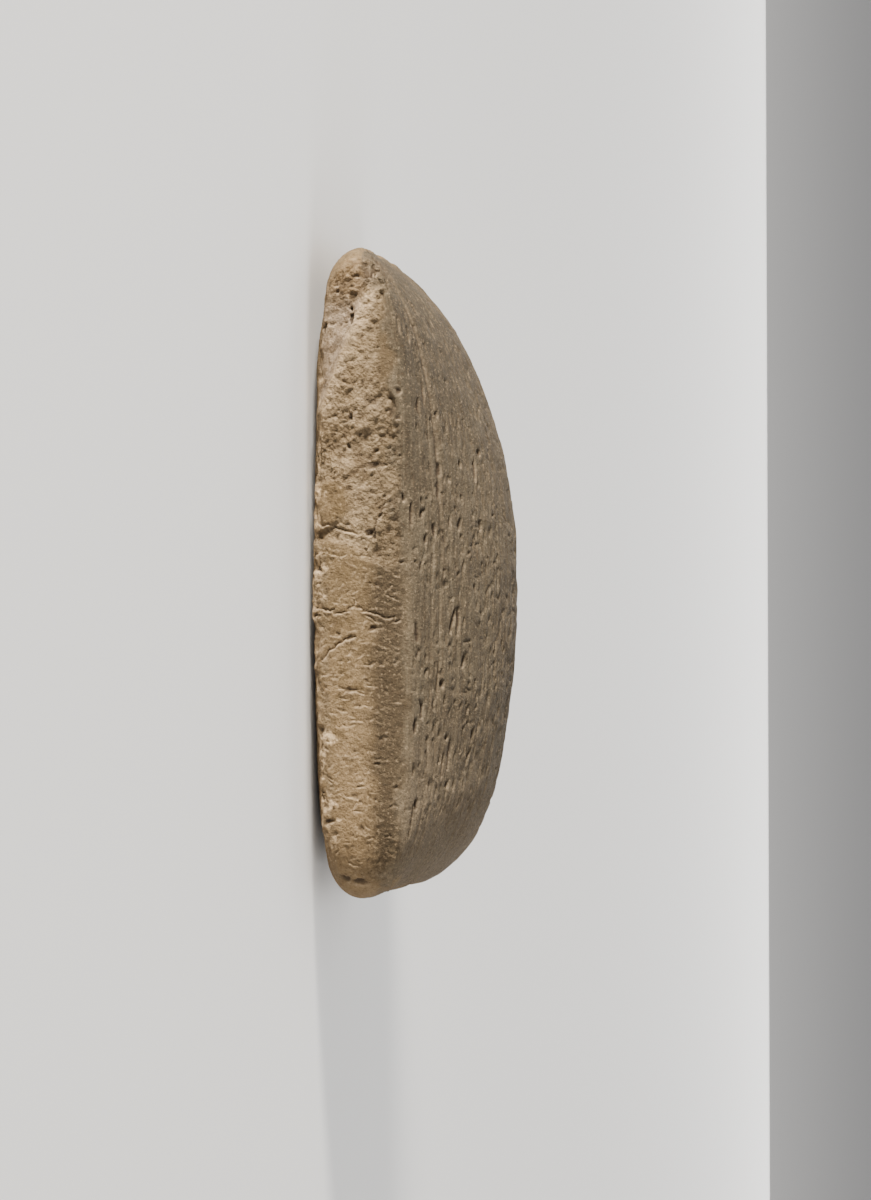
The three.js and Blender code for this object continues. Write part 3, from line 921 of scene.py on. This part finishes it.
def add_marks(marks, p, faces, shares, grain):
    """Adds the marks for the colour of the clay that isn't broken, painted shade and painted light among
    them.
    """
    obverse, reverse, edge = faces
    on_obverse, on_reverse, side, inset = shares
    x, y, z = p.T
    near = near_share(x)
    on_edge = side * near
    on_dome, past = past_crease(p, inset)

    # Dirt and painted shade in the cuts: darker the deeper a place lies in a cut, as if unlit there
    hollow = on_obverse * obverse.at(x, y, obverse.depth)
    hollow += 0.8 * on_reverse * reverse.at(x, y, reverse.depth)
    hollow += on_edge * edge.at(y, z, edge.depth)
    marks["hollow"] = hollow / 0.42

    uneven = 2.2 * noise(p, 4, 63) + 1.2 * noise(p, 1.5, 64)
    grey = smooth(0.5 + (past + uneven + 2.6 * smooth((y - 2) / 12)) / 2.4)
    marks["reverse"] = grey * (z > EQUATOR_SIDE) * mix(0.7, 1, smooth(0.5 - x / 10))

    drift = 1.2 * noise(p, 5, 65) + 0.7 * noise(p, 1.7, 66)
    by_ends = mix(1, 0.6, smooth(y / 10)) * mix(0.55, 1, smooth((y + 51) / 10))
    # Painted shade: the band's upper half, beyond the keel, is darkened as if turned from the light, less
    # so towards the ends
    marks["shade"] = near * smooth(0.5 + (z - 10.2 + drift) / 4.2) * by_ends

    # Painted highlight: the walls of cuts and cracks that face the top of the tablet from below are
    # painted paler, as if lit from the upper left, and less so where the band is painted in shade
    lip = 0.22 * on_reverse * (reverse.at(x - 0.2, y + 0.2) - reverse.at(x + 0.1, y - 0.1))
    lip += on_edge * (edge.at(y + 0.2, z - 0.15) - edge.at(y - 0.1, z + 0.1))
    marks["lip"] = lip / 0.26 * (1 - 0.6 * marks["shade"])

    # Painted light: the clay is made paler towards the bottom end, which the key light reaches less
    marks["pale"] = smooth((-y - 20) / 26)
    # Painted shade: the reverse is darkened towards the top end, which the key light reaches more
    # strongly
    marks["painted_top_shade"] = on_dome * smooth((y - 4) / 34)
    level = np.where(on_dome, inset - BAND_LEAN, z - crease_height(y))
    beyond = level - 0.9 + 0.7 * noise(p, 2.6, 67)
    strip = np.exp(-((beyond / 1.5) ** 2)) * smooth((-x - 27) / 5) * smooth((14 - y) / 12)
    marks["strip"] = strip * smooth(0.75 + 0.8 * grain)
    marks["wrap"] = on_edge * smooth((y - 46) / 4) * (1 - marks["spall"])
    # Dirt and painted shade in the edge's grain as well
    marks["crevice"] = np.maximum(marks["crevice"], on_edge * smooth(grain * 0.9 - 0.2) * 0.5)


def worn(p, normals, faces):
    """The points of the unworn tablet, moved to where use and breakage left them, and marks."""
    obverse, reverse, edge = faces
    shares = part_shares(p, normals)
    on_obverse, on_reverse, side, inset = shares
    x, y, z = p.T
    on_edge = side * near_share(x)
    on_dome, _ = past_crease(p, inset)
    grain = fractal(p, 1.3, 4, 12, 0.75)
    cut = on_obverse * obverse.at(x, y) + on_reverse * reverse.at(x, y) + on_edge * edge.at(y, z)
    wear, notch = wear_depth(p, shares, grain)
    outward = level_outward(p)
    soft, rounded_off = crease_rounding(p, normals, inset, outward)
    crumb = np.maximum(side, 0.4 * on_dome) * soft * CREASE_CRUMB * fractal(p, 0.9, 2, 71, 0.8)
    cut += wear + crumb
    lost, marks = broken(p, inset)
    moved = p - normals * cut[:, None] - rounded_off - outward * lost[:, None]
    moved[:, 2] = np.maximum(moved[:, 2], 0)
    marks["fresh_and_highlight"] = fresh_chips_and_highlight(p, notch, grain)
    add_marks(marks, p, faces, shares, grain)
    return moved, marks


def thinned(obj, triangles):
    """Gives the object fewer triangles, most of them where the form needs them."""
    ratio = triangles / (2 * len(obj.data.polygons))
    if ratio < 1:
        modifier = obj.modifiers.new("thin", "DECIMATE")
        modifier.ratio = ratio
        graph = bpy.context.evaluated_depsgraph_get()
        mesh = bpy.data.meshes.new_from_object(obj.evaluated_get(graph))
        obj.modifiers.clear()
        obj.data = mesh
    for vertex in obj.data.vertices:
        vertex.co.z = max(vertex.co.z, 0.0)
    obj.data.shade_smooth()


def tablet_piece():
    faces = (written_obverse(), written_reverse(), near_edge())
    points, quads = base_mesh()
    points, marks = worn(points, vertex_normals(points, quads), faces)
    mesh = bpy.data.meshes.new("tablet_clay")
    mesh.from_pydata((points * MM).tolist(), [], quads.tolist())
    for name, values in marks.items():
        layer = mesh.attributes.new(name, "FLOAT", "POINT")
        layer.data.foreach_set("value", np.clip(values, 0, 1).astype(np.float32))
    obj = bpy.data.objects.new("tablet_clay", mesh)
    bpy.context.collection.objects.link(obj)
    thinned(obj, TRIANGLES)
    return obj


# Clay


def colour(tone):
    """A colour given in 0 to 255 display values, as a shader takes it."""
    parts = np.array(tone) / 255
    linear = np.where(parts <= 0.04045, parts / 12.92, ((parts + 0.055) / 1.055) ** 2.4)
    return (*linear.tolist(), 1.0)


class Nodes:
    """Short ways to add shader nodes to a material."""

    def __init__(self, name):
        self.material = bpy.data.materials.new(name)
        self.material.use_nodes = True
        self.tree = self.material.node_tree
        self.shader = self.tree.nodes["Principled BSDF"]

    def add(self, kind, **settings):
        node = self.tree.nodes.new(kind)
        for key, value in settings.items():
            setattr(node, key, value)
        return node

    def link(self, source, target):
        self.tree.links.new(source, target)

    def fill(self, sockets, values):
        """Gives each socket its value, or links it to the node's output that stands for it."""
        for socket, value in zip(sockets, values):
            if isinstance(value, (float, tuple)):
                socket.default_value = value
            else:
                self.link(value, socket)

    def mask(self, name):
        return self.add("ShaderNodeAttribute", attribute_name=name).outputs["Fac"]

    def math(self, operation, a, b):
        node = self.add("ShaderNodeMath", operation=operation)
        self.fill(node.inputs, (a, b))
        return node.outputs[0]

    def times(self, a, b):
        return self.math("MULTIPLY", a, b)

    def plus(self, a, b):
        return self.math("ADD", a, b)

    def ramp(self, source, low, high):
        """0 where the source is `low` and 1 where it is `high`, with an even curve between."""
        node = self.add("ShaderNodeMapRange", interpolation_type="SMOOTHSTEP")
        self.link(source, node.inputs["Value"])
        node.inputs["From Min"].default_value = low
        node.inputs["From Max"].default_value = high
        return node.outputs["Result"]

    def blend(self, share, under, over):
        node = self.add("ShaderNodeMix", data_type="RGBA", clamp_factor=True)
        self.fill([node.inputs[0], node.inputs[6], node.inputs[7]], (share, under, over))
        return node.outputs[2]

    def tint(self, under, tone, source, strength):
        """Lays a tone over what is there, as far as the source and the strength say."""
        return self.blend(self.times(source, strength), under, colour(tone))

    def places(self, stretch=(1.0, 1.0, 1.0)):
        where = self.add("ShaderNodeTexCoord").outputs["Object"]
        node = self.add("ShaderNodeMapping")
        node.inputs["Scale"].default_value = stretch
        self.link(where, node.inputs["Vector"])
        return node.outputs["Vector"]

    def speckle(self, where, size, detail=3.0, roughness=0.6):
        """Noise with lumps about `size` millimetres across."""
        node = self.add("ShaderNodeTexNoise", noise_dimensions="3D")
        self.link(where, node.inputs["Vector"])
        node.inputs["Scale"].default_value = 1 / (size * MM)
        node.inputs["Detail"].default_value = detail
        node.inputs["Roughness"].default_value = roughness
        return node.outputs["Fac"]

    def crumbs(self, where, size):
        """Distance from the nearest of many grains about `size` millimetres apart."""
        node = self.add("ShaderNodeTexVoronoi", feature="F1")
        self.link(where, node.inputs["Vector"])
        node.inputs["Scale"].default_value = 1 / (size * MM)
        return node.outputs["Distance"]


def clay_tone(n, where, streak):
    """The clay's colour: skin with painted shade on the band's upper half, a greyer reverse darkened
    partly as painted shade, raw clay, painted light towards the bottom end, then grain, chips with a
    painted highlight, painted highlights on lips and crest, and dirt and painted shade in hollows over
    all.
    """
    reverse = n.mask("reverse")
    drift = n.speckle(where, size=14.0, detail=4.0)
    mottle = n.speckle(where, size=3.0, detail=4.0)
    blotches = n.speckle(where, size=1.3, detail=4.0, roughness=0.7)
    fine = n.speckle(where, size=0.5, detail=4.0, roughness=0.7)

    skin = n.blend(n.ramp(drift, 0.35, 0.65), colour(SKIN), colour(SKIN_DRIFT))
    skin = n.blend(n.ramp(mottle, 0.4, 0.7), skin, colour(SKIN_MOTTLE))
    # Painted light towards the bottom end
    skin = n.tint(skin, SKIN_LIT_BOTTOM, n.mask("pale"), strength=0.4)
    # Painted shade over the band's upper half
    skin = n.tint(skin, SKIN_SHADED, n.mask("shade"), strength=0.9)
    skin = n.tint(skin, SKIN_TOP, n.mask("wrap"), strength=1.0)

    grey = n.blend(n.ramp(drift, 0.35, 0.65), colour(GREY_AND_SHADE), colour(GREY_DRIFT))
    grey = n.tint(grey, GREY_STREAK, n.ramp(streak, 0.45, 0.68), strength=0.6)
    grey = n.tint(grey, GREY_STREAK_PALE, n.ramp(streak, 0.42, 0.25), strength=0.6)
    # Painted shade towards the top of the reverse
    grey = n.tint(grey, GREY_TOP_SHADE, n.mask("painted_top_shade"), strength=0.55)
    # Painted light towards the bottom end
    grey = n.tint(grey, GREY_LIT_BOTTOM, n.mask("pale"), strength=0.6)
    # The reverse is greyer clay, darkened partly as painted shade
    tone = n.blend(reverse, skin, grey)
    tone = n.tint(tone, CREASE_STRIP, n.mask("strip"), strength=0.42)

    raw = n.blend(n.ramp(mottle, 0.35, 0.65), colour(RAW), colour(RAW_MOTTLE))
    # Painted shade over the raw clay of the band's upper half
    raw = n.tint(raw, RAW_SHADED, n.mask("shade"), strength=0.7)
    raw = n.blend(n.mask("high"), raw, colour(RAW_TOP))
    off_reverse = n.math("SUBTRACT", 1.0, n.times(reverse, 0.8))
    tone = n.blend(n.times(n.mask("spall"), off_reverse), tone, raw)
    bare = n.blend(n.ramp(blotches, 0.42, 0.6), colour(BARE), colour(BARE_MOTTLE))
    tone = n.blend(n.times(n.mask("scar"), 0.8), tone, bare)
    # Worn paler clay and painted highlight on the ridge's crest
    tone = n.tint(tone, CREST_HIGHLIGHT, n.mask("crest_highlight"), strength=0.65)

    specks = n.ramp(n.crumbs(where, size=1.2), 0.13, 0.07)
    flakes = n.ramp(n.crumbs(n.places((1.0, 0.8, 1.3)), size=2.1), 0.1, 0.05)
    tone = n.tint(tone, GRAIN_DARK, n.ramp(fine, 0.53, 0.66), strength=0.55)
    tone = n.tint(tone, GRAIN_PALE, n.ramp(fine, 0.46, 0.32), strength=0.35)
    tone = n.tint(tone, SPECK, specks, strength=0.5)
    tone = n.tint(tone, FLAKE, flakes, strength=0.16)
    # Fresh broken clay, paler, with a painted highlight
    tone = n.tint(tone, FRESH_CLAY_HIGHLIGHT, n.mask("fresh_and_highlight"), strength=0.8)
    # Dirt and painted shade in crevices
    tone = n.tint(tone, CREVICE_SHADE_AND_DIRT, n.mask("crevice"), strength=0.7)
    # Painted highlight on the lit walls of cuts and cracks
    tone = n.tint(tone, LIP_HIGHLIGHT, n.mask("lip"), strength=0.5)
    # Dirt and painted shade in the hollows
    return n.tint(tone, DIRT_AND_HOLLOW_SHADE, n.ramp(n.mask("hollow"), 0.2, 0.9), strength=0.9)


def clay_height(n, where, streak):
    """The clay's finest relief: grain everywhere, more of it on the spall, streaks on the reverse."""
    reverse = n.mask("reverse")
    rough = n.plus(n.times(n.mask("spall"), 1.3), 0.75)
    rough = n.math("SUBTRACT", rough, n.times(reverse, 0.3))
    grain = n.speckle(where, size=0.34, detail=5.0, roughness=0.7)
    height = n.plus(grain, n.times(n.speckle(where, size=0.9), rough))
    height = n.plus(height, n.times(n.times(streak, reverse), 1.1))
    return n.plus(height, n.times(n.crumbs(where, size=0.55), n.times(rough, -0.35)))


def clay():
    n = Nodes("dried clay")
    where = n.places()
    streak = n.speckle(n.places((1.0, 0.07, 1.0)), size=0.6)
    n.link(clay_tone(n, where, streak), n.shader.inputs["Base Color"])
    n.shader.inputs["Roughness"].default_value = CLAY_ROUGHNESS
    n.shader.inputs["Specular IOR Level"].default_value = CLAY_SPECULAR
    bump = n.add("ShaderNodeBump")
    bump.inputs["Strength"].default_value = BUMP_STRENGTH
    bump.inputs["Distance"].default_value = BUMP_DISTANCE
    n.link(clay_height(n, where, streak), bump.inputs["Height"])
    n.link(bump.outputs["Normal"], n.shader.inputs["Normal"])
    return n.material


# Floor, light and camera


def floor():
    half = FLOOR_HALF
    corners = [(-half, -half, 0), (half, -half, 0), (half, half, 0), (-half, half, 0)]
    mesh = bpy.data.meshes.new("floor")
    mesh.from_pydata(corners, [], [(0, 1, 2, 3)])
    obj = bpy.data.objects.new("floor", mesh)
    bpy.context.collection.objects.link(obj)
    n = Nodes("pale floor")
    n.shader.inputs["Base Color"].default_value = colour(FLOOR_TONE)
    n.shader.inputs["Roughness"].default_value = FLOOR_ROUGHNESS
    mesh.materials.append(n.material)


def area_light(name, place, size, power, tint=(1.0, 1.0, 1.0)):
    """A square light that is turned towards the tablet."""
    light = bpy.data.lights.new(name, "AREA")
    light.size = size
    light.energy = power
    light.color = tint
    obj = bpy.data.objects.new(name, light)
    obj.location = place
    obj.rotation_euler = (Vector(LIT_POINT) - Vector(place)).to_track_quat("-Z", "Y").to_euler()
    bpy.context.collection.objects.link(obj)


def lights():
    area_light("key", (-0.80, 1.42, 0.19), size=0.34, power=160.0, tint=(1.0, 0.955, 0.89))
    area_light("fill", (-0.45, -1.3, 0.75), size=1.0, power=17.0)
    area_light("rear", (1.3, 0.1, 0.6), size=1.3, power=16.0)
    area_light("overhead", (-0.3, -0.3, 2.2), size=2.2, power=15.0)
    world = bpy.data.worlds.new("soft surround")
    world.use_nodes = True
    shade = world.node_tree.nodes["Background"]
    shade.inputs["Color"].default_value = SURROUND_TINT
    shade.inputs["Strength"].default_value = SURROUND_STRENGTH
    bpy.context.scene.world = world


def camera():
    """Looks a little down at the near edge, rolled so that the tablet's top is up."""
    ahead = Vector((np.cos(TILT), 0, -np.sin(TILT)))
    right = Vector((np.sin(TILT), 0, np.cos(TILT)))
    up = Vector((0, 1, 0))
    aim = Vector(CAMERA_AIM) * MM
    data = bpy.data.cameras.new("camera")
    data.sensor_fit = "VERTICAL"
    data.sensor_height = FILM_HEIGHT
    data.lens = LENS
    data.clip_start = CLIP_NEAREST
    data.clip_end = CLIP_FARTHEST
    obj = bpy.data.objects.new("camera", data)
    turn = Matrix((right, up, -ahead)).transposed().to_4x4()
    obj.matrix_world = Matrix.Translation(aim - DISTANCE * MM * ahead) @ turn
    bpy.context.collection.objects.link(obj)
    bpy.context.scene.camera = obj


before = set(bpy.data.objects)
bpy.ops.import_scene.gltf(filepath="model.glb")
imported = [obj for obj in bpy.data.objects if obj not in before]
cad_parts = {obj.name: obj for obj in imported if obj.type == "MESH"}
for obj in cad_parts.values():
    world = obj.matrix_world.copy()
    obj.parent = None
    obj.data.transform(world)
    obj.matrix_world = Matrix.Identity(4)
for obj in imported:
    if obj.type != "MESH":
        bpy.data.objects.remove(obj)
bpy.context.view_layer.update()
tablet = tablet_piece()
tablet.data.materials.clear()
tablet.data.materials.append(clay())
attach(tablet, "root")
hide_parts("tablet")
floor()
lights()
camera()
